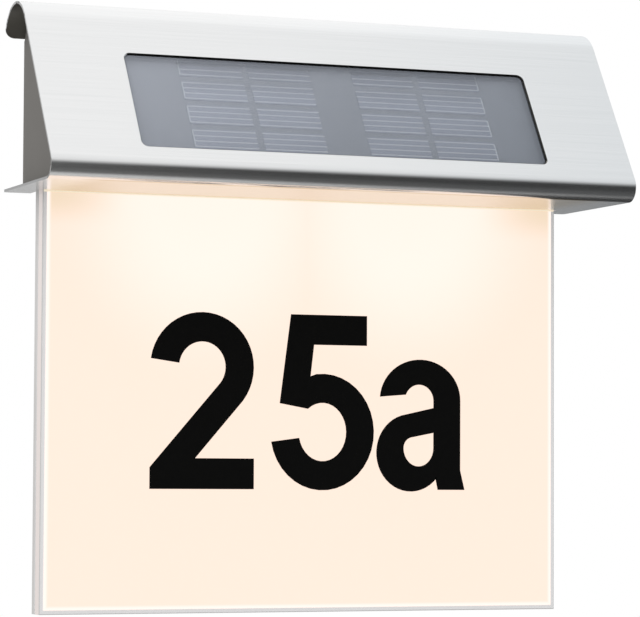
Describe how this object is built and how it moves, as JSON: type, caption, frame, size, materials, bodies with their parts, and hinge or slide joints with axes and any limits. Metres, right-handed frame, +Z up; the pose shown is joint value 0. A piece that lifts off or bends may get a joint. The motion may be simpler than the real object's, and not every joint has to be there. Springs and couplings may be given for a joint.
{
  "type": "solar house number light",
  "caption": "Wall-hung solar house number light: a bent steel hood with a sloped solar module over an edge-lit number panel, hung on a hooked wall bracket.",
  "frame": {"origin": "midway between the wall bracket's two screw holes, on the wall's face", "axes": "+X along the hood to the right as seen from the front, +Y into the wall, +Z up"},
  "size_m": [0.2, 0.0552, 0.1955],
  "materials": {
    "hood_steel": "fine brushing along the hood, satin",
    "bracket_steel": "black powder coat, matt",
    "housing_plastic": "grey ABS with a fine spark texture",
    "black_foam": "closed-cell foam, matt",
    "solar_front": "clear, smooth",
    "solar_silicon": "grey-blue silicon with fine silver fingers",
    "solar_board": "black solder mask",
    "clear_acrylic": "clear acrylic, polished edges",
    "white_sheet": "white film",
    "opal_acrylic": "opal acrylic",
    "lit_screen": "frosted white film lit from its edge, warm white",
    "steel_screws": "stainless, cross recess",
    "circuit_board": "white solder mask",
    "led_lens": "yellow phosphor",
    "cell_can": "printed sleeve, plain",
    "contact_steel": "nickel-plated spring steel",
    "black_components": "black epoxy",
    "switch_body": "black",
    "knob_plastic": "white"
  },
  "bodies": {
    "bracket": {"wall_bracket": "bracket_steel"},
    "lamp": {"hood": "hood_steel", "window_gasket": "black_foam", "hood_tape": "black_foam", "solar_glass": "solar_front", "solar_cells": "solar_silicon", "solar_backing": "solar_board", "housing": "housing_plastic", "light_guide": "clear_acrylic", "reflector_sheet": "white_sheet", "back_pane": "opal_acrylic", "number_screen": "lit_screen", "plate_clamp": "housing_plastic", "clamp_screws": "steel_screws", "led_board": "circuit_board", "leds": "led_lens", "rear_cover": "housing_plastic", "cover_gasket": "black_foam", "cover_screws": "steel_screws", "battery": "cell_can", "contact_positive": "contact_steel", "contact_negative": "contact_steel", "control_board": "circuit_board", "board_components": "black_components", "board_screws": "steel_screws", "slide_switch": "switch_body"},
    "door": {"battery_door": "housing_plastic", "door_gasket": "black_foam", "door_screws": "steel_screws"},
    "switch": {"switch_knob": "knob_plastic"}
  },
  "joints": [
    {"name": "lamp_lift", "type": "slide", "parent": "bracket", "child": "lamp", "axis": [0, 0, 1], "range_m": [0, 0.005]},
    {"name": "door_removal", "type": "slide", "parent": "lamp", "child": "door", "axis": [0, 1, 0], "range_m": [0, 0.012]},
    {"name": "switch_slide", "type": "slide", "parent": "lamp", "child": "switch", "axis": [1, 0, 0], "range_m": [0, 0.002]}
  ]
}
